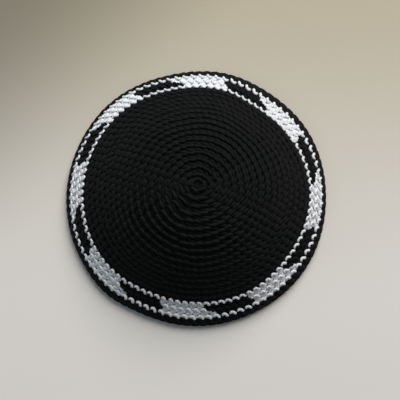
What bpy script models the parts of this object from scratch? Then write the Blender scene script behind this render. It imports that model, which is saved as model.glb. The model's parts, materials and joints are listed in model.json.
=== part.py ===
"""A round crocheted skullcap, lying on its rim. Metres, +Z up, centre of the rim's box at the origin.

The cap is worked in rounds of single crochet from the middle of the crown outwards: seventeen black rounds,
three rounds with a second, white yarn, and one black round that edges the rim. The rounds with two yarns are
a little taller. The cap's shape follows from how high a round is and how steeply each stretch of the cloth
falls.
"""

from collections import namedtuple
import math

import bmesh
import bpy
import numpy as np

Slope = namedtuple("Slope", "along degrees")
Drape = namedtuple("Drape", "degrees rim shoulder")

# Rounds of crochet, counted from the middle of the crown
CROWN_ROUNDS = 17
BAND_ROUNDS = 3
EDGING_ROUNDS = 1
ROUND_HEIGHT = 0.00458
BAND_ROUND_HEIGHT = 0.0052
FIRST_ROUND_MIDDLE = 0.0048
RIM_STITCHES = 96

# The cloth: two yarns thick, each round a low ridge between two grooves
WALL = 0.0028
RIDGE = 0.0006
PIECE_GAP = 0.0003

# The foot of the last round, where the cap rests
RIM_LIFT = 0.0018
RIM_ROLL = 0.0003
RIM_ROLL_HEIGHT = 0.0009
FOOT_INSET = 0.0004
FOOT_WIDTH = 0.0022

# The pattern of the band: eight repeats, each of six white stitches and six black in the middle round
REPEAT_STITCHES = 12
WHITE_STITCHES = 6
BLOCK_MIDDLE_DEGREES = 41.4
MIXED_ROUND = 1

# How steeply the cloth falls, by the distance along it from the middle of the crown
SLOPES = (
    Slope(along=0.000, degrees=0.0),
    Slope(along=0.020, degrees=10.5),
    Slope(along=0.040, degrees=27.5),
    Slope(along=0.060, degrees=39.0),
    Slope(along=0.080, degrees=41.0),
    Slope(along=0.094, degrees=39.0),
    Slope(along=0.099, degrees=72.0),
    Slope(along=0.103, degrees=85.0),
)

# The soft cap isn't quite round: how far its rim, and its shoulder above the band, stand out, by direction
DRAPES = (
    Drape(degrees=0, rim=-0.00030, shoulder=0.00080),
    Drape(degrees=30, rim=0.00060, shoulder=-0.00190),
    Drape(degrees=55, rim=-0.00020, shoulder=-0.00350),
    Drape(degrees=75, rim=0.00040, shoulder=-0.00220),
    Drape(degrees=100, rim=-0.00110, shoulder=-0.00130),
    Drape(degrees=130, rim=-0.00015, shoulder=0.00030),
    Drape(degrees=155, rim=-0.00050, shoulder=0.00090),
    Drape(degrees=185, rim=-0.00010, shoulder=0.00140),
    Drape(degrees=210, rim=0.00040, shoulder=0.00140),
    Drape(degrees=228, rim=0.00125, shoulder=-0.00010),
    Drape(degrees=245, rim=-0.00060, shoulder=-0.00080),
    Drape(degrees=270, rim=-0.00040, shoulder=-0.00110),
    Drape(degrees=300, rim=-0.00045, shoulder=0.00000),
    Drape(degrees=325, rim=0.00015, shoulder=-0.00110),
)
CROWN_OFFSET_X = 0.0012
CROWN_OFFSET_Y = -0.0014
RIM_SHAPE_POWER = 3
SHOULDER_SHAPE_POWER = 4

# Cotton yarn in two colours
BLACK = (0.012, 0.014, 0.014)
BLACK_ROUGHNESS = 0.85
WHITE = (0.72, 0.74, 0.77)
WHITE_ROUGHNESS = 0.8

# How finely the shapes are drawn
CROWN_SIDES = 64
CROWN_POINTS_PER_ROUND = 2
CROWN_INNER_POINTS = 9
BAND_POINTS_PER_ROUND = 3
LINE_STEP = 0.0005
SHARP_DEGREES = 60

CROWN_END = FIRST_ROUND_MIDDLE + (CROWN_ROUNDS - 0.5) * ROUND_HEIGHT
BAND_END = CROWN_END + BAND_ROUNDS * BAND_ROUND_HEIGHT
RIM_END = BAND_END + EDGING_ROUNDS * ROUND_HEIGHT


def slope_at(along):
    """The cloth's fall in radians, on straight lines between the rows of the table."""
    for lower, upper in zip(SLOPES, SLOPES[1:]):
        if along <= upper.along:
            share = (along - lower.along) / (upper.along - lower.along)
            return math.radians(lower.degrees + share * (upper.degrees - lower.degrees))
    return math.radians(SLOPES[-1].degrees)


def cloth_line(along):
    """Radius and fall below the top of the crown, this far along the outside of the cloth."""
    steps = max(1, round(along / LINE_STEP))
    step = along / steps
    slopes = [slope_at((i + 0.5) * step) for i in range(steps)]
    return sum(math.cos(s) for s in slopes) * step, sum(math.sin(s) for s in slopes) * step


RIM_RADIUS, RIM_FALL = cloth_line(RIM_END)
TOP_HEIGHT = RIM_FALL + RIM_LIFT


def section_point(along, out):
    """(radius, height) of a point this far along the cloth and this far out of it."""
    radius, fall = cloth_line(along)
    slope = slope_at(along)
    return radius + out * math.sin(slope), TOP_HEIGHT - fall + out * math.cos(slope)


def drape(angle):
    """How far the rim and the shoulder stand out in this direction, on smooth curves through the table."""
    degrees = math.degrees(angle) % 360
    rows = [Drape(row.degrees + turn, row.rim, row.shoulder) for turn in (-360, 0, 360) for row in DRAPES]
    i = next(i for i, row in enumerate(rows) if row.degrees > degrees)
    before, a, b, after = [np.array(row) for row in rows[i - 2:i + 2]]
    gap = b[0] - a[0]
    share = (degrees - a[0]) / gap
    lean_a = (b - before) / (b[0] - before[0]) * gap
    lean_b = (after - a) / (after[0] - a[0]) * gap
    eased = share * share * (3 - 2 * share)
    curve = a + eased * (b - a) + share * (1 - share) * ((1 - share) * lean_a - share * lean_b)
    return curve[1], curve[2]


def unset_place(radius, height, angle):
    """A point of the cap in space, before the cap is centred on its box."""
    share = radius / RIM_RADIUS
    rim, shoulder = drape(angle)
    high = share**SHOULDER_SHAPE_POWER
    reach = radius + rim * share**RIM_SHAPE_POWER + shoulder * 4 * high * (1 - high)
    off = 1 - share**2
    x = reach * math.cos(angle) + CROWN_OFFSET_X * off
    y = reach * math.sin(angle) + CROWN_OFFSET_Y * off
    return x, y, height


def box_middle():
    """The middle of the rim's box, which the cap is moved by."""
    widest = RIM_RADIUS + RIM_ROLL
    turns = [2 * math.pi * i / RIM_STITCHES for i in range(RIM_STITCHES)]
    points = [unset_place(widest, 0, turn) for turn in turns]
    xs = [point[0] for point in points]
    ys = [point[1] for point in points]
    return (min(xs) + max(xs)) / 2, (min(ys) + max(ys)) / 2


MIDDLE_X, MIDDLE_Y = box_middle()


def place(radius, height, angle):
    x, y, z = unset_place(radius, height, angle)
    return x - MIDDLE_X, y - MIDDLE_Y, z


def ridged_outside(start, rounds, round_height, points_per_round):
    """The outside of some rounds, groove to groove, as (along, out) with a ridge on each."""
    count = rounds * points_per_round
    rows = []
    for i in range(count + 1):
        swell = RIDGE * math.sin(math.pi * (i % points_per_round) / points_per_round)
        rows.append((start + i * round_height / points_per_round, swell))
    return rows


def turned(name, section, sides):
    """A closed ring or dome: the section, clockwise from the top of its outside, carried round the cap.

    A section that starts and ends on the middle line closes there in a point, above and below.
    """
    mesh = bmesh.new()
    has_poles = section[0][0] == 0
    turns = [2 * math.pi * i / sides for i in range(sides)]
    rows = []
    for radius, height in section:
        if radius == 0:
            rows.append([mesh.verts.new(place(0, height, 0))] * sides)
        else:
            rows.append([mesh.verts.new(place(radius, height, turn)) for turn in turns])
    pairs = list(zip(rows, rows[1:])) + ([] if has_poles else [(rows[-1], rows[0])])
    for upper, lower in pairs:
        for i in range(sides):
            j = (i + 1) % sides
            corners = [upper[i], lower[i], lower[j], upper[j]]
            kept = [v for k, v in enumerate(corners) if v not in corners[:k]]
            mesh.faces.new(kept)
    data = bpy.data.meshes.new(name)
    mesh.to_mesh(data)
    mesh.free()
    data.shade_smooth()
    data.set_sharp_from_angle(angle=math.radians(SHARP_DEGREES))
    piece = bpy.data.objects.new(name, data)
    bpy.context.scene.collection.objects.link(piece)
    return piece


def yarn(name, colour, roughness):
    material = bpy.data.materials.new(name)
    material.use_nodes = True
    shader = material.node_tree.nodes["Principled BSDF"]
    shader.inputs["Base Color"].default_value = (*colour, 1)
    shader.inputs["Roughness"].default_value = roughness
    shader.inputs["Metallic"].default_value = 0
    return material


def make_crown():
    """The black rounds, closed in the middle, as one ridged dome of cloth."""
    end = CROWN_END - PIECE_GAP / 2
    second_round = FIRST_ROUND_MIDDLE + ROUND_HEIGHT / 2
    outside = ridged_outside(second_round, CROWN_ROUNDS - 1, ROUND_HEIGHT, CROWN_POINTS_PER_ROUND)
    outside = [(0, 0), (FIRST_ROUND_MIDDLE, RIDGE)] + outside[:-1] + [(end, 0)]
    inside = [(end * i / CROWN_INNER_POINTS, -WALL) for i in range(CROWN_INNER_POINTS, -1, -1)]
    section = [section_point(along, out) for along, out in outside + inside]
    crown = turned("crown", section, CROWN_SIDES)
    crown.data.materials.append(yarn("black_crown_yarn", BLACK, BLACK_ROUGHNESS))


def is_white(stitch, round_number):
    """Whether a stitch of the band is white: all are, but for blocks of the middle round."""
    if round_number != MIXED_ROUND:
        return True
    pitch = 360 / RIM_STITCHES
    block_start = BLOCK_MIDDLE_DEGREES / pitch - WHITE_STITCHES / 2
    return (stitch + 0.5 - block_start) % REPEAT_STITCHES < WHITE_STITCHES


def make_pattern_band():
    """Three rounds worked with black and white yarn together, as one ridged ring of cloth."""
    start = CROWN_END + PIECE_GAP / 2
    end = BAND_END - PIECE_GAP / 2
    outside = ridged_outside(CROWN_END, BAND_ROUNDS, BAND_ROUND_HEIGHT, BAND_POINTS_PER_ROUND)
    outside = [(start, 0)] + outside[1:-1] + [(end, 0)]
    inside = [(end, -WALL), ((start + end) / 2, -WALL), (start, -WALL)]
    section = [section_point(along, out) for along, out in outside + inside]
    band = turned("pattern_band", section, RIM_STITCHES)
    band.data.materials.append(yarn("white_band_yarn", WHITE, WHITE_ROUGHNESS))
    band.data.materials.append(yarn("black_band_yarn", BLACK, BLACK_ROUGHNESS))
    for strip in range(len(outside) - 1):
        round_number = strip // BAND_POINTS_PER_ROUND
        for stitch in range(RIM_STITCHES):
            face = band.data.polygons[strip * RIM_STITCHES + stitch]
            face.material_index = 0 if is_white(stitch, round_number) else 1


def make_edging():
    """The black round that edges the rim, whose underside is the flat ring that the cap rests on."""
    start = BAND_END + PIECE_GAP / 2
    middle = BAND_END + ROUND_HEIGHT / 2
    foot_outer = RIM_RADIUS - FOOT_INSET
    foot_inner = foot_outer - FOOT_WIDTH
    section = [
        section_point(start, 0),
        section_point(BAND_END + ROUND_HEIGHT / 4, RIDGE * math.sin(math.pi / 4)),
        section_point(middle, RIDGE),
        section_point(RIM_END, 0),
        (RIM_RADIUS + RIM_ROLL, RIM_ROLL_HEIGHT),
        (foot_outer, 0),
        (foot_inner, 0),
        section_point(middle, -WALL),
        section_point(start, -WALL),
    ]
    edging = turned("edging", section, RIM_STITCHES)
    edging.data.materials.append(yarn("black_edging_yarn", BLACK, BLACK_ROUGHNESS))


for old in list(bpy.data.objects):
    bpy.data.objects.remove(old)

make_crown()
make_pattern_band()
make_edging()
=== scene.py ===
"""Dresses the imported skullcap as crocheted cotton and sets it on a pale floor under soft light.

Metres, +Z up, the cap lying on its rim. Every stitch is one bent length of yarn. It is made once, in stitch
widths and round heights, and is then laid on the cloth's curved surface, round by round.
"""

from collections import namedtuple
import json
import math

import bmesh
import bpy
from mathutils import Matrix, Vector
import numpy as np

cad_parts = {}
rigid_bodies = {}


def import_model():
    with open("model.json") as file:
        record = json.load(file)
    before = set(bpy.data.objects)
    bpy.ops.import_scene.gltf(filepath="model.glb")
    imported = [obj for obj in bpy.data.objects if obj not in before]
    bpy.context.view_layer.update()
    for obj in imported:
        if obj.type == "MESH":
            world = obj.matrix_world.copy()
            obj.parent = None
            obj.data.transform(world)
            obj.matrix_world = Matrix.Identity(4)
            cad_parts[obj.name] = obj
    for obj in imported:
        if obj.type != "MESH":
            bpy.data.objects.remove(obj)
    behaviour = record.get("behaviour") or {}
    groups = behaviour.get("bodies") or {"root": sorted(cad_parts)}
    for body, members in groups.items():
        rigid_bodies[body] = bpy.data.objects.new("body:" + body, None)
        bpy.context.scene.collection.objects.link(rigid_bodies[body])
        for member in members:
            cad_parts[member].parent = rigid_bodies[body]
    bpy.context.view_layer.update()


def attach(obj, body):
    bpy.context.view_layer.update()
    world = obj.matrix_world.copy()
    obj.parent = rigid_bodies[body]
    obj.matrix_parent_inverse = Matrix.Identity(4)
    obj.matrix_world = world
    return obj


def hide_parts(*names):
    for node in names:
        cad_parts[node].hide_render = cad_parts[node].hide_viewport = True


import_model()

# Crown
# Seventeen rounds of single crochet in black cotton, worked outwards in a spiral from a small ring of yarn.
# A stitch shows as a slanting length of yarn outside and as a bar inside. From the second round on, a loop
# lies over its top. The cloth is a shallow dome, a little pressed in, that turns down steeply at the rim.
ROUND_HEIGHT = 0.00458
BAND_ROUND_HEIGHT = 0.0052
FIRST_ROUND_MIDDLE = 0.0048
CROWN_STITCHES = (6, 12, 18, 24, 30, 36, 42, 48, 54, 60, 66, 72, 78, 78, 78, 84, 90)
BAND_ROUNDS = 3
EDGING_ROUNDS = 1
CROWN_START = FIRST_ROUND_MIDDLE - ROUND_HEIGHT / 2
CROWN_END = CROWN_START + len(CROWN_STITCHES) * ROUND_HEIGHT
BAND_END = CROWN_END + BAND_ROUNDS * BAND_ROUND_HEIGHT
RIM_END = BAND_END + EDGING_ROUNDS * ROUND_HEIGHT
RIM_LIFT = 0.0018
LINE_STEP = 0.0005

Slope = namedtuple("Slope", "along degrees")
SLOPES = (
    Slope(along=0.000, degrees=0.0),
    Slope(along=0.020, degrees=10.5),
    Slope(along=0.040, degrees=27.5),
    Slope(along=0.060, degrees=39.0),
    Slope(along=0.080, degrees=41.0),
    Slope(along=0.094, degrees=39.0),
    Slope(along=0.099, degrees=72.0),
    Slope(along=0.103, degrees=85.0),
)

YARN = 0.00180
STITCH_WIDTH = 0.0051
STITCH_SIDES = 8
STITCH_STEPS = 11

# A bend lies some round heights away from where its stitch starts, some stitch widths along the round, and
# some metres out of the cloth's line. Its thickness is a share of the yarn's.
Bend = namedtuple("Bend", "away along out thick")
CROWN_STITCH = (
    Bend(away=0.42, along=-0.38, out=-0.0022, thick=0.80),
    Bend(away=0.38, along=-0.47, out=-0.0012, thick=1.00),
    Bend(away=0.31, along=-0.49, out=-0.0006, thick=1.15),
    Bend(away=0.24, along=-0.40, out=-0.0002, thick=1.25),
    Bend(away=0.21, along=-0.24, out=-0.0001, thick=1.25),
    Bend(away=0.23, along=-0.05, out=0.0000, thick=1.30),
    Bend(away=0.27, along=0.14, out=0.0000, thick=1.30),
    Bend(away=0.31, along=0.31, out=-0.0001, thick=1.30),
    Bend(away=0.35, along=0.45, out=-0.0005, thick=1.20),
    Bend(away=0.39, along=0.55, out=-0.0012, thick=1.00),
    Bend(away=0.42, along=0.60, out=-0.0022, thick=0.80),
)
TOP_LOOP = (
    Bend(away=0.46, along=-0.62, out=-0.0024, thick=0.80),
    Bend(away=0.50, along=-0.52, out=-0.0013, thick=1.00),
    Bend(away=0.62, along=-0.30, out=-0.0006, thick=1.15),
    Bend(away=0.75, along=-0.02, out=-0.0004, thick=1.20),
    Bend(away=0.86, along=0.26, out=-0.0005, thick=1.15),
    Bend(away=1.02, along=0.44, out=-0.0007, thick=1.10),
    Bend(away=1.20, along=0.38, out=-0.0007, thick=1.15),
    Bend(away=1.30, along=0.18, out=-0.0006, thick=1.20),
    Bend(away=1.24, along=-0.02, out=-0.0007, thick=1.15),
    Bend(away=1.08, along=-0.16, out=-0.0014, thick=1.00),
    Bend(away=0.98, along=-0.28, out=-0.0024, thick=0.80),
)
LOOP_STEPS = 9
INSIDE_BAR = (
    Bend(away=1.16, along=0.10, out=-0.0016, thick=0.80),
    Bend(away=0.98, along=0.04, out=-0.0023, thick=0.95),
    Bend(away=0.74, along=-0.10, out=-0.0025, thick=1.00),
    Bend(away=0.52, along=-0.30, out=-0.0024, thick=1.00),
    Bend(away=0.36, along=-0.40, out=-0.0026, thick=1.00),
    Bend(away=0.27, along=-0.22, out=-0.0029, thick=1.05),
    Bend(away=0.28, along=0.06, out=-0.0030, thick=1.10),
    Bend(away=0.33, along=0.32, out=-0.0028, thick=1.05),
    Bend(away=0.40, along=0.52, out=-0.0021, thick=0.90),
    Bend(away=0.44, along=0.60, out=-0.0014, thick=0.80),
)
INSIDE_STEPS = 9
INSIDE_SIDES = 6


def cloth_line():
    """Radius and height of the cloth's outside, from the middle of the crown to just past the rim."""
    steps = int((RIM_END + ROUND_HEIGHT) / LINE_STEP)
    along = (np.arange(steps) + 0.5) * LINE_STEP
    slope = np.radians(np.interp(along, [row.along for row in SLOPES], [row.degrees for row in SLOPES]))
    radius = np.concatenate([[0], np.cumsum(np.cos(slope)) * LINE_STEP])
    fall = np.concatenate([[0], np.cumsum(np.sin(slope)) * LINE_STEP])
    rim_fall = np.interp(RIM_END, np.arange(steps + 1) * LINE_STEP, fall)
    return radius, rim_fall + RIM_LIFT - fall


LINE_RADIUS, LINE_HEIGHT = cloth_line()
LINE_ALONG = np.arange(len(LINE_RADIUS)) * LINE_STEP
RIM_RADIUS = float(np.interp(RIM_END, LINE_ALONG, LINE_RADIUS))


def section_curve():
    """The cloth's section as a curve, for the stitches to be laid along."""
    curve = bpy.data.curves.new("cloth_section", "CURVE")
    curve.dimensions = "3D"
    line = curve.splines.new("POLY")
    line.points.add(len(LINE_RADIUS) - 1)
    for point, radius, height in zip(line.points, LINE_RADIUS, LINE_HEIGHT):
        point.co = (radius, 0, height, 1)
    return bpy.data.objects.new("cloth_section", curve)


def bent_yarn(name, bends, steps, sides, spread=1.0):
    """A length of yarn through the bends, as a closed tube with its line and its thickness kept apart.

    Strands that lie side by side are one flat tube, whose width is spread times its thickness.
    """
    knots = np.array([(b.away, b.along, b.out, b.thick) for b in bends])
    padded = np.vstack([2 * knots[0] - knots[1], knots, 2 * knots[-1] - knots[-2]])
    rows = []
    for place in np.linspace(0, len(bends) - 1, steps + 1):
        i = min(int(place), len(bends) - 2)
        t = place - i
        a, b, c, d = padded[i:i + 4]
        squared = 2 * a - 5 * b + 4 * c - d
        cubed = 3 * b - 3 * c + d - a
        rows.append(0.5 * (2 * b + (c - a) * t + squared * t**2 + cubed * t**3))
    rows = np.array(rows)
    lines = rows[:, :3]
    sized = lines * (ROUND_HEIGHT, STITCH_WIDTH, 1)
    run = np.concatenate([[0], np.cumsum(np.linalg.norm(np.diff(sized, axis=0), axis=1))])
    ways = np.gradient(sized, axis=0)
    ways /= np.linalg.norm(ways, axis=1)[:, None]
    side = np.cross(ways[0], (0, 0, 1))
    spots, line_of, offset_of = [], [], []
    for way, line, spot, thick in zip(ways, lines, sized, rows[:, 3]):
        side = side - way * np.dot(side, way)
        side /= np.linalg.norm(side)
        up = np.cross(side, way)
        for k in range(sides):
            turn = 2 * math.pi * k / sides
            offset = (side * spread * math.cos(turn) + up * math.sin(turn)) * thick * YARN / 2
            spots.append(spot + offset)
            line_of.append(line)
            offset_of.append(offset)
    faces = []
    corners = []
    for i in range(steps):
        for k in range(sides):
            j = (k + 1) % sides
            faces.append((i * sides + k, i * sides + j, (i + 1) * sides + j, (i + 1) * sides + k))
            low, high = run[i] / YARN, run[i + 1] / YARN
            near, far = k / sides, (k + 1) / sides
            corners += [(low, near), (low, far), (high, far), (high, near)]
    last = steps * sides
    faces += [tuple(reversed(range(sides))), tuple(range(last, last + sides))]
    corners += [(0, 0)] * sides + [(run[-1] / YARN, 0)] * sides
    mesh = bpy.data.meshes.new(name)
    mesh.from_pydata(spots, [], faces)
    for label, values in (("line", line_of), ("offset", offset_of)):
        mesh.attributes.new(label, "FLOAT_VECTOR", "POINT").data.foreach_set("vector", np.ravel(values))
    mesh.uv_layers.new(name="yarn").data.foreach_set("uv", np.ravel(corners))
    return bpy.data.objects.new(name, mesh)


def end_of(sockets, name):
    """The socket with that name or number, among those in use."""
    if isinstance(name, int):
        return sockets[name]
    return next(socket for socket in sockets if socket.enabled and socket.name == name)


def put(tree, kind, feeds=None, **settings):
    """Adds a node and feeds its sockets, each from another node's socket or with a value."""
    node = tree.nodes.new(kind)
    for name, value in settings.items():
        setattr(node, name, value)
    for name, value in (feeds or {}).items():
        socket = end_of(node.inputs, name)
        if isinstance(value, bpy.types.NodeSocket):
            tree.links.new(value, socket)
        else:
            socket.default_value = value
    return node


def reckon(tree, operation, *terms):
    """The result of one sum on numbers or sockets."""
    node = put(tree, "ShaderNodeMath", dict(enumerate(terms)), operation=operation)
    return node.outputs[0]


def crochet_tree():
    """Puts a stitch at each point of some rounds and lays it on the cloth.

    A point says how far down the cloth its stitch starts, in which direction it lies, how wide it is as an
    angle, how high, how deep it is sunk into the cloth, and how full its yarn is.
    """
    tree = bpy.data.node_groups.new("crochet_rounds", "GeometryNodeTree")
    inputs = {
        "Geometry": "Geometry", "Stitch": "Object", "Section": "Object",
        "Wander": "Float", "Seed": "Int", "Yarn": "Material",
    }
    for name, kind in inputs.items():
        tree.interface.new_socket(name, in_out="INPUT", socket_type="NodeSocket" + kind)
    tree.interface.new_socket("Geometry", in_out="OUTPUT", socket_type="NodeSocketGeometry")
    given = put(tree, "NodeGroupInput").outputs

    def kept(name, kind="FLOAT"):
        node = put(tree, "GeometryNodeInputNamedAttribute", {"Name": name}, data_type=kind)
        return node.outputs["Attribute"]

    # Each point draws a small sway and a shade of its own, which its stitch takes over.
    sway = put(
        tree, "FunctionNodeRandomValue", {"Min": (-1, -1, -1), "Max": (1, 1, 1), "Seed": given["Seed"]},
        data_type="FLOAT_VECTOR",
    )
    shade_seed = reckon(tree, "ADD", given["Seed"], 1)
    shade = put(
        tree, "FunctionNodeRandomValue", {"Min": 0.0, "Max": 1.0, "Seed": shade_seed}, data_type="FLOAT"
    )
    points = put(
        tree, "GeometryNodeStoreNamedAttribute",
        {"Geometry": given["Geometry"], "Name": "sway", "Value": end_of(sway.outputs, "Value")},
        data_type="FLOAT_VECTOR", domain="POINT",
    )
    points = put(
        tree, "GeometryNodeStoreNamedAttribute",
        {"Geometry": points.outputs[0], "Name": "shade", "Value": end_of(shade.outputs, "Value")},
        data_type="FLOAT", domain="POINT",
    )
    stitch = put(tree, "GeometryNodeObjectInfo", {"Object": given["Stitch"]})
    stitches = put(
        tree, "GeometryNodeInstanceOnPoints",
        {"Points": points.outputs[0], "Instance": stitch.outputs["Geometry"]},
    )
    real = put(tree, "GeometryNodeRealizeInstances", {"Geometry": stitches.outputs[0]})

    # The stitch's line is stretched to its place on the cloth. The yarn on it keeps its own thickness.
    line = put(tree, "ShaderNodeSeparateXYZ", {0: kept("line", "FLOAT_VECTOR")}).outputs
    thick = put(
        tree, "ShaderNodeVectorMath", {0: kept("offset", "FLOAT_VECTOR"), "Scale": kept("full")},
        operation="SCALE",
    )
    offset = put(tree, "ShaderNodeSeparateXYZ", {0: thick.outputs[0]}).outputs
    sways = put(tree, "ShaderNodeSeparateXYZ", {0: kept("sway", "FLOAT_VECTOR")}).outputs
    away = reckon(tree, "MULTIPLY", line["X"], kept("height"))
    away = reckon(tree, "ADD", away, reckon(tree, "MULTIPLY", sways["X"], given["Wander"]))
    along = reckon(tree, "ADD", kept("along"), away)
    turn = reckon(tree, "MULTIPLY_ADD", line["Y"], kept("width"), kept("turn"))
    section = put(tree, "GeometryNodeObjectInfo", {"Object": given["Section"]})
    spot = put(
        tree, "GeometryNodeSampleCurve", {"Curves": section.outputs["Geometry"], "Length": along},
        mode="LENGTH", use_all_curves=True,
    )
    middle = put(tree, "ShaderNodeSeparateXYZ", {0: spot.outputs["Position"]}).outputs
    down = put(tree, "ShaderNodeSeparateXYZ", {0: spot.outputs["Tangent"]}).outputs
    out = reckon(tree, "SUBTRACT", reckon(tree, "ADD", line["Z"], offset["Z"]), kept("sink"))
    out = reckon(tree, "ADD", out, reckon(tree, "MULTIPLY", sways["Z"], given["Wander"]))
    steep = reckon(tree, "MULTIPLY", down["Z"], -1.0)
    radius = reckon(tree, "MULTIPLY_ADD", out, steep, middle["X"])
    radius = reckon(tree, "MULTIPLY_ADD", offset["X"], down["X"], radius)
    height = reckon(tree, "MULTIPLY_ADD", out, down["X"], middle["Z"])
    height = reckon(tree, "MULTIPLY_ADD", offset["X"], down["Z"], height)
    cosine = reckon(tree, "COSINE", turn)
    sine = reckon(tree, "SINE", turn)
    sideways = reckon(tree, "MULTIPLY_ADD", sways["Y"], given["Wander"], offset["Y"])
    x = reckon(tree, "MULTIPLY", radius, cosine)
    x = reckon(tree, "SUBTRACT", x, reckon(tree, "MULTIPLY", sideways, sine))
    y = reckon(tree, "MULTIPLY", radius, sine)
    y = reckon(tree, "ADD", y, reckon(tree, "MULTIPLY", sideways, cosine))
    place = put(tree, "ShaderNodeCombineXYZ", {"X": x, "Y": y, "Z": height})
    laid = put(tree, "GeometryNodeSetPosition", {"Geometry": real.outputs[0], "Position": place.outputs[0]})
    smooth = put(tree, "GeometryNodeSetShadeSmooth", {"Geometry": laid.outputs[0]})
    dyed = put(
        tree, "GeometryNodeSetMaterial", {"Geometry": smooth.outputs[0], "Material": given["Yarn"]}
    )
    put(tree, "NodeGroupOutput", {"Geometry": dyed.outputs[0]})
    return tree


Drape = namedtuple("Drape", "degrees rim shoulder")
DRAPES = (
    Drape(degrees=0, rim=-0.00030, shoulder=0.00080),
    Drape(degrees=30, rim=0.00060, shoulder=-0.00190),
    Drape(degrees=55, rim=-0.00020, shoulder=-0.00350),
    Drape(degrees=75, rim=0.00040, shoulder=-0.00220),
    Drape(degrees=100, rim=-0.00110, shoulder=-0.00130),
    Drape(degrees=130, rim=-0.00015, shoulder=0.00030),
    Drape(degrees=155, rim=-0.00050, shoulder=0.00090),
    Drape(degrees=185, rim=-0.00010, shoulder=0.00140),
    Drape(degrees=210, rim=0.00040, shoulder=0.00140),
    Drape(degrees=228, rim=0.00125, shoulder=-0.00010),
    Drape(degrees=245, rim=-0.00060, shoulder=-0.00080),
    Drape(degrees=270, rim=-0.00040, shoulder=-0.00110),
    Drape(degrees=300, rim=-0.00045, shoulder=0.00000),
    Drape(degrees=325, rim=0.00015, shoulder=-0.00110),
)
CROWN_OFFSET = (0.0012, -0.0014)
RIM_SHAPE_POWER = 3
SHOULDER_SHAPE_POWER = 4
SIDE_STRETCH = 0.035
STRETCH_START = math.radians(35)
RIM_ROLL = 0.0003
RIM_POINTS = 96


def drape(degrees):
    """How far the rim and the shoulder stand out in these directions, on smooth closed curves."""
    table = np.array(DRAPES)
    rows = np.vstack([table - (360, 0, 0), table, table + (360, 0, 0)])
    i = np.searchsorted(rows[:, 0], degrees, "right")
    before, a, b, after = rows[i - 2], rows[i - 1], rows[i], rows[i + 1]
    gap = (b - a)[:, :1]
    share = (degrees[:, None] - a[:, :1]) / gap
    lean_a = (b - before) / (b - before)[:, :1] * gap
    lean_b = (after - a) / (after - a)[:, :1] * gap
    eased = share * share * (3 - 2 * share)
    curve = a + eased * (b - a) + share * (1 - share) * ((1 - share) * lean_a - share * lean_b)
    return curve[:, 1], curve[:, 2]


def settled(spots):
    """Moves points of a round cap to where they lie on the real one, whose soft cloth isn't quite round."""
    x, y, z = spots.T
    radius = np.hypot(x, y)
    turn = np.arctan2(y, x)
    rim, shoulder = drape(np.degrees(turn) % 360)
    reach = radius / RIM_RADIUS
    high = np.minimum(reach, 1) ** SHOULDER_SHAPE_POWER
    out = rim * reach**RIM_SHAPE_POWER + shoulder * 4 * high * (1 - high)
    stretch = 1 + out / np.maximum(radius, LINE_STEP)
    turned = turn + SIDE_STRETCH * np.sin(turn - STRETCH_START) * np.minimum(reach, 1)
    inner = 1 - reach**2
    x = radius * np.cos(turned) * stretch + CROWN_OFFSET[0] * inner - rim_middle[0]
    y = radius * np.sin(turned) * stretch + CROWN_OFFSET[1] * inner - rim_middle[1]
    return np.stack([x, y, z], axis=1)


rim_middle = (0, 0)
rim_turns = 2 * math.pi * np.arange(RIM_POINTS) / RIM_POINTS
rim_circle = np.stack([np.cos(rim_turns), np.sin(rim_turns), 0 * rim_turns], axis=1)
rim_spots = settled(rim_circle * (RIM_RADIUS + RIM_ROLL))
rim_middle = (rim_spots.min(axis=0) + rim_spots.max(axis=0))[:2] / 2

cloth_section = section_curve()
crown_stitch = bent_yarn("crown_stitch", CROWN_STITCH, STITCH_STEPS, STITCH_SIDES)
top_loop = bent_yarn("top_loop", TOP_LOOP, LOOP_STEPS, STITCH_SIDES)
inside_bar = bent_yarn("inside_bar", INSIDE_BAR, INSIDE_STEPS, INSIDE_SIDES)
crochet = crochet_tree()

Stitch = namedtuple("Stitch", "along turn width height sink full")
WANDER = 0.00012
CROWN_WANDER = 0.0002


def round_of_stitches(number, count, phase):
    """The stitches of one round, counted from the middle of the crown, as points for the tree."""
    width = 2 * math.pi / count
    in_band = min(max(number - len(CROWN_STITCHES), 0), BAND_ROUNDS)
    start = CROWN_START + number * ROUND_HEIGHT + in_band * (BAND_ROUND_HEIGHT - ROUND_HEIGHT)
    is_band = len(CROWN_STITCHES) <= number < len(CROWN_STITCHES) + BAND_ROUNDS
    height = BAND_ROUND_HEIGHT if is_band else ROUND_HEIGHT
    return [Stitch(start, (i + phase) * width, width, height, sink=0.0, full=1.0) for i in range(count)]


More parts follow.
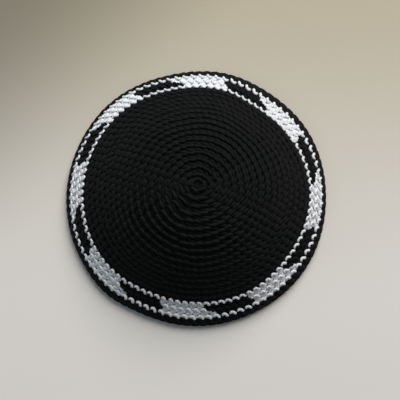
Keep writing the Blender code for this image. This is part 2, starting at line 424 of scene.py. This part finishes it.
def crocheted(name, stitches, shape, yarn, seed, wander=WANDER):
    """One piece of yarn: the given stitches, laid on the cloth and made a plain mesh."""
    mesh = bpy.data.meshes.new(name)
    mesh.from_pydata([(0, 0, 0)] * len(stitches), [], [])
    for field in Stitch._fields:
        values = [getattr(stitch, field) for stitch in stitches]
        mesh.attributes.new(field, "FLOAT", "POINT").data.foreach_set("value", values)
    piece = bpy.data.objects.new(name, mesh)
    linked = bpy.context.scene.collection.objects
    for item in (piece, shape, cloth_section):
        linked.link(item)
    modifier = piece.modifiers.new("rounds", "NODES")
    modifier.node_group = crochet
    inputs = {"Stitch": shape, "Section": cloth_section, "Wander": wander, "Seed": seed, "Yarn": yarn}
    for item in crochet.interface.items_tree:
        if item.name in inputs:
            modifier[item.identifier] = inputs[item.name]
    depsgraph = bpy.context.evaluated_depsgraph_get()
    made = bpy.data.meshes.new_from_object(piece.evaluated_get(depsgraph), depsgraph=depsgraph)
    piece.modifiers.remove(modifier)
    piece.data = made
    spots = np.empty(len(made.vertices) * 3)
    made.vertices.foreach_get("co", spots)
    made.vertices.foreach_set("co", settled(spots.reshape(-1, 3)).ravel())
    for label in ("line", "offset", "sway") + Stitch._fields:
        if label in made.attributes:
            made.attributes.remove(made.attributes[label])
    for item in (shape, cloth_section):
        linked.unlink(item)
    return piece


PLIES = 3
TWIST = 0.42
PLY_ROUNDNESS = 0.6
GROOVE_SHADE_REACH = 0.6
FIBRES_ROUND = 22.0
FIBRES_ALONG = 2.0
FIBRES_APART = 30.0
FIBRE_DARK = 0.75
FIBRE_LIGHT = 1.2
FIBRE_HEIGHT = 0.35
RELIEF_STRENGTH = 0.7
RELIEF_DEPTH = 0.00012
BLACK = (0.0050, 0.0057, 0.0055)


def cotton(name, colour, shaded_groove_share, shade_spread, roughness, gloss, fuzz):
    """Plied cotton yarn. Its plies wind round it, by the yarn's own map: along it, and round it.

    shaded_groove_share is the share of the colour that is left in the grooves between plies, as painted
    shade, and shade_spread is how much darker the darkest stitch is than the lightest one.
    """
    material = bpy.data.materials.new(name)
    material.use_nodes = True
    tree = material.node_tree
    shader = tree.nodes["Principled BSDF"]
    uv = put(tree, "ShaderNodeUVMap", uv_map="yarn")
    place = put(tree, "ShaderNodeSeparateXYZ", {0: uv.outputs[0]}).outputs
    winding = reckon(tree, "MULTIPLY_ADD", place["X"], TWIST, place["Y"])
    phase = reckon(tree, "MULTIPLY", winding, math.pi * PLIES)
    ply = reckon(tree, "ABSOLUTE", reckon(tree, "SINE", phase))
    ply_height = reckon(tree, "POWER", ply, PLY_ROUNDNESS)
    shade = put(tree, "ShaderNodeAttribute", attribute_name="shade").outputs["Fac"]
    fibre_spot = put(
        tree, "ShaderNodeCombineXYZ",
        {
            "X": reckon(tree, "MULTIPLY", winding, FIBRES_ROUND),
            "Y": reckon(tree, "MULTIPLY", place["X"], FIBRES_ALONG),
            "Z": reckon(tree, "MULTIPLY", shade, FIBRES_APART),
        },
    )
    fibre = put(
        tree, "ShaderNodeTexNoise", {"Vector": fibre_spot.outputs[0], "Scale": 1.0, "Detail": 3.0}
    )
    # Painted shade: the colour darkens in the grooves between the plies.
    ply_groove_shade = put(
        tree, "ShaderNodeMapRange", {"Value": ply, 1: 0.0, 2: GROOVE_SHADE_REACH, 3: shaded_groove_share, 4: 1.0}
    )
    stitch_light = put(tree, "ShaderNodeMapRange", {"Value": shade, 3: 1 - shade_spread, 4: 1.0})
    fibre_light = put(
        tree, "ShaderNodeMapRange", {"Value": fibre.outputs["Fac"], 3: FIBRE_DARK, 4: FIBRE_LIGHT}
    )
    light = reckon(tree, "MULTIPLY", ply_groove_shade.outputs[0], stitch_light.outputs[0])
    light = reckon(tree, "MULTIPLY", light, fibre_light.outputs[0])
    tint = put(tree, "ShaderNodeVectorMath", {0: colour, "Scale": light}, operation="SCALE")
    tree.links.new(tint.outputs[0], shader.inputs["Base Color"])
    height = reckon(tree, "MULTIPLY_ADD", fibre.outputs["Fac"], FIBRE_HEIGHT, ply_height)
    bump = put(
        tree, "ShaderNodeBump", {"Height": height, "Strength": RELIEF_STRENGTH, "Distance": RELIEF_DEPTH}
    )
    tree.links.new(bump.outputs[0], shader.inputs["Normal"])
    shader.inputs["Roughness"].default_value = roughness
    shader.inputs["Specular IOR Level"].default_value = gloss
    shader.inputs["Sheen Weight"].default_value = fuzz
    return material


black_cotton = cotton(
    "black_cotton", BLACK, shaded_groove_share=0.55, shade_spread=0.3, roughness=0.6, gloss=0.05, fuzz=0.034
)
ROUND_TURN = 0.618
CLIMB_START = math.radians(140)
CLIMB_END = math.radians(250)
CLIMB_STITCHES = 4
Climb = namedtuple("Climb", "round climb lean inwards")
CLIMBS = (
    Climb(round=0, climb=0.0, lean=0.20, inwards=0.00),
    Climb(round=1, climb=1.0, lean=0.42, inwards=0.10),
    Climb(round=8, climb=1.0, lean=0.42, inwards=0.05),
    Climb(round=10, climb=1.0, lean=0.35, inwards=0.04),
    Climb(round=16, climb=0.0, lean=0.00, inwards=0.00),
)
LEAN_TURN = math.radians(12)
Ripple = namedtuple("Ripple", "waves size start drift")
RIPPLES = (
    Ripple(waves=3, size=0.05, start=0.4, drift=0.5),
    Ripple(waves=5, size=0.05, start=2.1, drift=-0.7),
    Ripple(waves=9, size=0.04, start=4.0, drift=1.1),
    Ripple(waves=14, size=0.03, start=1.0, drift=-0.9),
)
RIPPLE_EASE_ROUNDS = 2
RIPPLE_END_ROUND = 15


def in_spiral(stitches, number):
    """Moves the stitches of a round to where they lie in the spiral, which climbs from round to round.

    Besides the climb, the rounds lean towards the near side and ripple a little, all in shares of a round.
    """
    climb, lean, inwards = (
        np.interp(number, [row.round for row in CLIMBS], [getattr(row, field) for row in CLIMBS])
        for field in ("climb", "lean", "inwards")
    )
    rippled = min(max(min(number, RIPPLE_END_ROUND - number) / RIPPLE_EASE_ROUNDS, 0), 1)
    moved = []
    for stitch in stitches:
        ripple = sum(
            row.size * math.sin(row.waves * stitch.turn + row.start + row.drift * number)
            for row in RIPPLES
        )
        share = (stitch.turn - CLIMB_START) % (2 * math.pi) / (CLIMB_END - CLIMB_START)
        rise = climb * share * share * (3 - 2 * share) if share < 1 else 0
        off = rise - lean * math.sin(stitch.turn + LEAN_TURN) - inwards + rippled * ripple
        moved.append(stitch._replace(along=stitch.along + off * ROUND_HEIGHT))
    return moved


crown_rounds = [
    in_spiral(round_of_stitches(number, count, ROUND_TURN * number), number)
    for number, count in enumerate(CROWN_STITCHES)
]
# The climb starts in the second round, and four more stitches fill the gap that it leaves after the first.
first_width = (CLIMB_END - CLIMB_START) / CLIMB_STITCHES
first_turns = [CLIMB_START + (i + 0.5) * first_width for i in range(CLIMB_STITCHES)]
first_climb = [
    Stitch(CROWN_START, turn, first_width, ROUND_HEIGHT, sink=0.0, full=1.0) for turn in first_turns
]
crown_rounds.append(in_spiral(first_climb, 1))
crown_stitches = sum(crown_rounds, [])
crown = crocheted(
    "crown_yarn", crown_stitches, crown_stitch, black_cotton, seed=3, wander=CROWN_WANDER
)
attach(crown, "root")
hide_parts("crown")

Filling = namedtuple("Filling", "along loop_sink core_top")
FILLINGS = (
    Filling(along=0.000, loop_sink=0.0006, core_top=-0.0008),
    Filling(along=0.038, loop_sink=0.0004, core_top=-0.0008),
    Filling(along=0.055, loop_sink=-0.0002, core_top=-0.0002),
    Filling(along=0.072, loop_sink=-0.0002, core_top=-0.0002),
    Filling(along=0.080, loop_sink=0.0000, core_top=-0.0004),
    Filling(along=0.084, loop_sink=0.0000, core_top=-0.0008),
)


def filled(along, field):
    """How deep the loops or the core lie this far down the cloth, whose rounds are denser further out."""
    return np.interp(along, [row.along for row in FILLINGS], [getattr(row, field) for row in FILLINGS])


crown_tops = [
    stitch._replace(sink=filled(stitch.along, "loop_sink")) for stitch in sum(crown_rounds[1:], [])
]
crown_loops = crocheted("crown_loops", crown_tops, top_loop, black_cotton, seed=4)
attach(crown_loops, "root")
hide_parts("crown")

crown_inside = crocheted("crown_inside_bars", crown_stitches, inside_bar, black_cotton, seed=11)
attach(crown_inside, "root")
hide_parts("crown")

RING_RADIUS = 0.0019
RING_SINK = 0.0012
RING_SIDES = 24


def starting_ring():
    """The small loop that the first round is worked into, as a closed ring of yarn."""
    ring = bmesh.new()
    layer = ring.loops.layers.uv.new("yarn")
    rows = []
    for i in range(RING_SIDES):
        turn = 2 * math.pi * i / RING_SIDES
        row = []
        for k in range(STITCH_SIDES):
            around = 2 * math.pi * k / STITCH_SIDES
            radius = RING_RADIUS + YARN / 2 * math.cos(around)
            height = float(LINE_HEIGHT[0]) - RING_SINK + YARN / 2 * math.sin(around)
            row.append((radius * math.cos(turn), radius * math.sin(turn), height))
        rows.append([ring.verts.new(spot) for spot in settled(np.array(row))])
    length = 2 * math.pi * RING_RADIUS / YARN / RING_SIDES
    for i in range(RING_SIDES):
        for k in range(STITCH_SIDES):
            here, after, j = rows[i], rows[(i + 1) % RING_SIDES], (k + 1) % STITCH_SIDES
            face = ring.faces.new((here[k], after[k], after[j], here[j]))
            face.smooth = True
            for corner, (a, b) in zip(face.loops, ((i, k), (i + 1, k), (i + 1, k + 1), (i, k + 1))):
                corner[layer].uv = (a * length, b / STITCH_SIDES)
    mesh = bpy.data.meshes.new("crown_starting_ring")
    ring.to_mesh(mesh)
    ring.free()
    mesh.materials.append(black_cotton)
    piece = bpy.data.objects.new("crown_starting_ring", mesh)
    bpy.context.scene.collection.objects.link(piece)
    return piece


crown_ring = starting_ring()
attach(crown_ring, "root")
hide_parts("crown")

CORE_FOOT = -0.0020
CORE_SWELL = 0.0003
CORE_SIDES = 192
CORE_POINTS = 6
WELD = 1e-6


def cloth_core(name, start, end, round_height, yarn):
    """The core of the cloth, a closed shell between its two faces that swells a little along each round."""
    rounds = (end - start) / round_height
    along = np.linspace(0 if start == CROWN_START else start, end, int(round(rounds * CORE_POINTS)) + 1)
    swell = CORE_SWELL * np.sin(np.pi * (along - start) / round_height) ** 2
    ring = np.concatenate([along, along[::-1]])
    out = np.concatenate([filled(along, "core_top") + swell, CORE_FOOT - swell[::-1]])
    slope = np.radians(np.interp(ring, [row.along for row in SLOPES], [row.degrees for row in SLOPES]))
    radius = np.maximum(np.interp(ring, LINE_ALONG, LINE_RADIUS) + out * np.sin(slope), 0)
    height = np.interp(ring, LINE_ALONG, LINE_HEIGHT) + out * np.cos(slope)
    turns = 2 * math.pi * np.arange(CORE_SIDES) / CORE_SIDES
    x, y = np.outer(radius, np.cos(turns)), np.outer(radius, np.sin(turns))
    z = np.outer(height, np.ones(CORE_SIDES))
    spots = np.stack([x, y, z], axis=2).reshape(-1, 3)
    faces = []
    for i in range(len(ring)):
        upper, lower = i * CORE_SIDES, (i + 1) % len(ring) * CORE_SIDES
        if radius[i] == 0 and radius[(i + 1) % len(ring)] == 0:
            continue
        for k in range(CORE_SIDES):
            j = (k + 1) % CORE_SIDES
            faces.append((upper + k, lower + k, lower + j, upper + j))
    mesh = bpy.data.meshes.new(name)
    mesh.from_pydata(settled(spots), [], faces)
    shell = bmesh.new()
    shell.from_mesh(mesh)
    bmesh.ops.remove_doubles(shell, verts=shell.verts, dist=WELD)
    bmesh.ops.dissolve_degenerate(shell, edges=shell.edges, dist=WELD)
    bmesh.ops.recalc_face_normals(shell, faces=shell.faces)
    shell.to_mesh(mesh)
    shell.free()
    mesh.shade_smooth()
    mesh.materials.append(yarn)
    core = bpy.data.objects.new(name, mesh)
    bpy.context.scene.collection.objects.link(core)
    return core


crown_core = cloth_core("crown_core", CROWN_START, CROWN_END, ROUND_HEIGHT, black_cotton)
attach(crown_core, "root")
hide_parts("crown")

# Pattern band
# Three rounds worked with a black and a white cotton. The first and last show white all the way round, and
# the middle one has eight blocks of six white stitches with six black ones between. A stitch is a V with one
# longer arm. Within a block the loops from round to round are white too, over more white yarn behind them.
BAND_STITCHES = 96
REPEAT_STITCHES = 12
WHITE_STITCHES = 6
MIXED_ROUND = 1
# The stitches outside the blocks have their own width in each round. Widths and fullness are shares of those
# that a plain stitch has.
LONE_WIDTHS = (1.25, 1.0, 1.12)
LONE_WHITE_FULLNESS = 0.92
BLOCK_FULLNESS = 0.9
LOOP_FULLNESS = 0.95
STITCH_SPREAD = 1.25
LOOP_SPREAD = 1.35
LOOP_TURN_MIDDLE = 0.1
BLOCK_MIDDLE_DEGREES = 41.4
ROUND_SHIFT = 0.60
VISIBLE_MIDDLE = 0.18
WHITE = (0.730, 0.740, 0.760)

V_STITCH = (
    Bend(away=0.42, along=-0.25, out=-0.0019, thick=0.75),
    Bend(away=0.35, along=-0.26, out=-0.0008, thick=1.00),
    Bend(away=0.24, along=-0.22, out=-0.0001, thick=1.10),
    Bend(away=0.15, along=-0.15, out=0.0001, thick=1.10),
    Bend(away=0.11, along=-0.06, out=0.0001, thick=1.05),
    Bend(away=0.17, along=0.04, out=0.0001, thick=1.05),
    Bend(away=0.29, along=0.14, out=0.0002, thick=1.15),
    Bend(away=0.42, along=0.21, out=0.0001, thick=1.15),
    Bend(away=0.53, along=0.25, out=-0.0004, thick=1.10),
    Bend(away=0.60, along=0.25, out=-0.0014, thick=0.90),
    Bend(away=0.62, along=0.22, out=-0.0022, thick=0.70),
)
WHITE_FILL = (
    Bend(away=0.15, along=0.02, out=-0.0008, thick=0.70),
    Bend(away=0.30, along=0.02, out=-0.0006, thick=0.80),
    Bend(away=0.80, along=0.06, out=-0.0006, thick=0.80),
    Bend(away=1.10, along=0.10, out=-0.0008, thick=0.70),
)
FILL_STEPS = 4
FILL_SPREAD = 3.0
LAST_FILL = 0.5

block_middle = BLOCK_MIDDLE_DEGREES / 360 * BAND_STITCHES - VISIBLE_MIDDLE
white_band, black_band = [], []
white_tops, white_ends, black_tops = [], [], []
white_fill = []
for row in range(BAND_ROUNDS):
    phase = block_middle - (WHITE_STITCHES - 1) / 2 + ROUND_SHIFT * (row - MIXED_ROUND)
    is_mixed = row == MIXED_ROUND
    is_last = row == BAND_ROUNDS - 1
    for i, stitch in enumerate(round_of_stitches(len(CROWN_STITCHES) + row, BAND_STITCHES, phase)):
        place = i % REPEAT_STITCHES
        in_block = place < WHITE_STITCHES
        lone = stitch._replace(width=stitch.width * LONE_WIDTHS[row])
        if in_block:
            white_band.append(stitch._replace(full=BLOCK_FULLNESS))
            white_fill.append(stitch._replace(height=stitch.height * (LAST_FILL if is_last else 1)))
        elif is_mixed:
            black_band.append(lone)
        else:
            white_band.append(lone._replace(full=LONE_WHITE_FULLNESS))
        flat_top = stitch._replace(full=LOOP_FULLNESS)
        if in_block and not is_last:
            white_tops.append(flat_top)
        elif is_mixed and place == WHITE_STITCHES:
            white_ends.append(flat_top)
        else:
            black_tops.append(stitch)

white_cotton = cotton(
    "white_cotton", WHITE, shaded_groove_share=0.65, shade_spread=0.08, roughness=0.8, gloss=0.2, fuzz=0.0
)
turned_bends = [bend._replace(along=2 * LOOP_TURN_MIDDLE - bend.along) for bend in TOP_LOOP]
v_stitch = bent_yarn("v_stitch", V_STITCH, STITCH_STEPS, STITCH_SIDES)
flat_stitch = bent_yarn("flat_stitch", V_STITCH, STITCH_STEPS, STITCH_SIDES, STITCH_SPREAD)
turned_loop = bent_yarn("turned_loop", turned_bends, LOOP_STEPS, STITCH_SIDES, LOOP_SPREAD)
end_loop = bent_yarn("end_loop", TOP_LOOP, LOOP_STEPS, STITCH_SIDES, LOOP_SPREAD)
fill_strand = bent_yarn("fill_strand", WHITE_FILL, FILL_STEPS, STITCH_SIDES, FILL_SPREAD)

band_white = crocheted("band_white_yarn", white_band, flat_stitch, white_cotton, seed=5)
band_black = crocheted("band_black_yarn", black_band, v_stitch, black_cotton, seed=7)
loops_white = crocheted("band_white_loops", white_tops, turned_loop, white_cotton, seed=6)
ends_white = crocheted("band_white_end_loops", white_ends, end_loop, white_cotton, seed=16)
loops_black = crocheted("band_black_loops", black_tops, top_loop, black_cotton, seed=8)
inside_white = crocheted("band_white_inside_bars", white_band, inside_bar, white_cotton, seed=12)
inside_black = crocheted("band_black_inside_bars", black_band, inside_bar, black_cotton, seed=13)
fill_white = crocheted("band_white_fill", white_fill, fill_strand, white_cotton, seed=15)
band_core = cloth_core("band_core", CROWN_END, BAND_END, BAND_ROUND_HEIGHT, black_cotton)
for piece in (band_white, loops_white, ends_white, inside_white, fill_white):
    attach(piece, "root")
    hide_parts("pattern_band")
for piece in (band_black, loops_black, inside_black, band_core):
    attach(piece, "root")
    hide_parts("pattern_band")

# Edging
# One round of single crochet in black cotton, which closes off the band and is turned down almost upright.
# Its stitches lie a little deeper than the band's, and the cap rests on the loops along its foot.
FOOT_LOOP = (
    Bend(away=1.04, along=-0.45, out=-0.0022, thick=0.80),
    Bend(away=1.10, along=-0.30, out=-0.0013, thick=0.95),
    Bend(away=1.15, along=-0.05, out=-0.0009, thick=1.00),
    Bend(away=1.15, along=0.20, out=-0.0008, thick=1.00),
    Bend(away=1.10, along=0.45, out=-0.0008, thick=1.00),
    Bend(away=1.04, along=0.68, out=-0.0011, thick=1.00),
    Bend(away=1.00, along=0.85, out=-0.0018, thick=0.90),
)
EDGING_SINK = 0.0007
FOOT_WANDER = 0.00004
edging_phase = block_middle + ROUND_SHIFT * (BAND_ROUNDS - MIXED_ROUND)
edging_stitches = round_of_stitches(len(CROWN_STITCHES) + BAND_ROUNDS, BAND_STITCHES, edging_phase)
deep_edging = [stitch._replace(sink=EDGING_SINK) for stitch in edging_stitches]
foot_loop = bent_yarn("foot_loop", FOOT_LOOP, LOOP_STEPS, STITCH_SIDES)
edging = crocheted("edging_yarn", deep_edging, v_stitch, black_cotton, seed=9)
foot = crocheted(
    "edging_loops", edging_stitches, foot_loop, black_cotton, seed=10, wander=FOOT_WANDER
)
edging_inside = crocheted("edging_inside_bars", edging_stitches, inside_bar, black_cotton, seed=14)
edging_core = cloth_core("edging_core", BAND_END, RIM_END, ROUND_HEIGHT, black_cotton)
for piece in (edging, foot, edging_inside, edging_core):
    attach(piece, "root")
    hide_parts("edging")

# Floor
# A plain pale tabletop that the cap lies on, in matt paint. It is a little warmer further away, and painted
# shade makes it darker there and darker again towards its far left corner.
FLOOR_HALF = 2.0
FLOOR_ROUGHNESS = 0.8
FLOOR_NEAR = (0.612, 0.583, 0.545)
FLOOR_FAR_SHADED = (0.403, 0.353, 0.247)
FLOOR_FAR_FROM = -0.08
FLOOR_FAR_TO = 0.17
FLOOR_SHADE_WAY = (-0.72, 0.69, 0)
FLOOR_CORNER_FROM = 0.055
FLOOR_CORNER_TO = 0.19
FLOOR_CORNER_SHADE = 0.46
floor_corners = [(x * FLOOR_HALF, y * FLOOR_HALF, 0) for x, y in ((-1, -1), (1, -1), (1, 1), (-1, 1))]
floor_mesh = bpy.data.meshes.new("floor")
floor_mesh.from_pydata(floor_corners, [], [(0, 1, 2, 3)])
floor = bpy.data.objects.new("floor", floor_mesh)
bpy.context.scene.collection.objects.link(floor)
floor_paint = bpy.data.materials.new("pale_floor")
floor_paint.use_nodes = True
tree = floor_paint.node_tree
where = put(tree, "ShaderNodeTexCoord").outputs["Object"]
spot = put(tree, "ShaderNodeSeparateXYZ", {0: where}).outputs
# Painted shade: the floor's colour turns darker, and a little warmer, further away.
far = put(
    tree, "ShaderNodeMapRange", {"Value": spot["Y"], 1: FLOOR_FAR_FROM, 2: FLOOR_FAR_TO},
    interpolation_type="SMOOTHSTEP",
)
# Painted shade: the colour darkens again towards the far left corner.
toward_shaded_corner = put(tree, "ShaderNodeVectorMath", {0: where, 1: FLOOR_SHADE_WAY}, operation="DOT_PRODUCT")
corner = put(
    tree, "ShaderNodeMapRange",
    {
        "Value": toward_shaded_corner.outputs["Value"],
        1: FLOOR_CORNER_FROM, 2: FLOOR_CORNER_TO, 3: 1.0, 4: FLOOR_CORNER_SHADE,
    },
    interpolation_type="SMOOTHSTEP",
)
tone = put(
    tree, "ShaderNodeMix", {0: far.outputs[0], 6: (*FLOOR_NEAR, 1), 7: (*FLOOR_FAR_SHADED, 1)}, data_type="RGBA"
)
tone = put(
    tree, "ShaderNodeVectorMath", {0: tone.outputs[2], "Scale": corner.outputs[0]}, operation="SCALE"
)
tree.links.new(tone.outputs[0], tree.nodes["Principled BSDF"].inputs["Base Color"])
tree.nodes["Principled BSDF"].inputs["Roughness"].default_value = FLOOR_ROUGHNESS
floor_mesh.materials.append(floor_paint)

# Light
# A wide soft window light from beyond the cap, a weak bluish one from the left, and a dim room around them.
ROOM_COLOUR = (0.88, 0.94, 1.0)
ROOM_STRENGTH = 0.19
world = bpy.data.worlds.new("room")
bpy.context.scene.world = world
world.use_nodes = True
background = world.node_tree.nodes["Background"]
background.inputs["Color"].default_value = (*ROOM_COLOUR, 1)
background.inputs["Strength"].default_value = ROOM_STRENGTH


def soft_light(name, place, size, power, colour):
    """A round lamp that is aimed at the cap."""
    lamp = bpy.data.lights.new(name, "AREA")
    lamp.shape = "DISK"
    lamp.size = size
    lamp.energy = power
    lamp.color = colour
    light = bpy.data.objects.new(name, lamp)
    light.location = place
    light.rotation_mode = "QUATERNION"
    light.rotation_quaternion = (-Vector(place)).to_track_quat("-Z", "Y")
    bpy.context.scene.collection.objects.link(light)


soft_light("window", place=(0.67, 1.88, 1.95), size=2.2, power=110, colour=(1.0, 0.99, 0.97))
soft_light("sky", place=(-2.0, 0.2, 1.4), size=1.5, power=5, colour=(0.4, 0.7, 1.0))

# Camera
# It looks down almost straight, as in the photo. Its lens follows from how wide a stretch of the floor the
# picture shows at the cap.
CAMERA_ELEVATION = math.radians(79.5)
CAMERA_DISTANCE = 0.70
PICTURE_WIDTH = 0.2608
AIM = (0.00245, -0.0025)
SENSOR_WIDTH = 36
camera_data = bpy.data.cameras.new("camera")
camera = bpy.data.objects.new("camera", camera_data)
back = Vector((0, -math.cos(CAMERA_ELEVATION), math.sin(CAMERA_ELEVATION)))
camera.location = Vector((*AIM, 0)) + back * CAMERA_DISTANCE
camera.rotation_mode = "QUATERNION"
camera.rotation_quaternion = (-back).to_track_quat("-Z", "Y")
camera_data.sensor_width = SENSOR_WIDTH
camera_data.lens = SENSOR_WIDTH * CAMERA_DISTANCE / PICTURE_WIDTH
bpy.context.scene.collection.objects.link(camera)
bpy.context.scene.camera = camera
bpy.context.scene.view_settings.view_transform = "Standard"
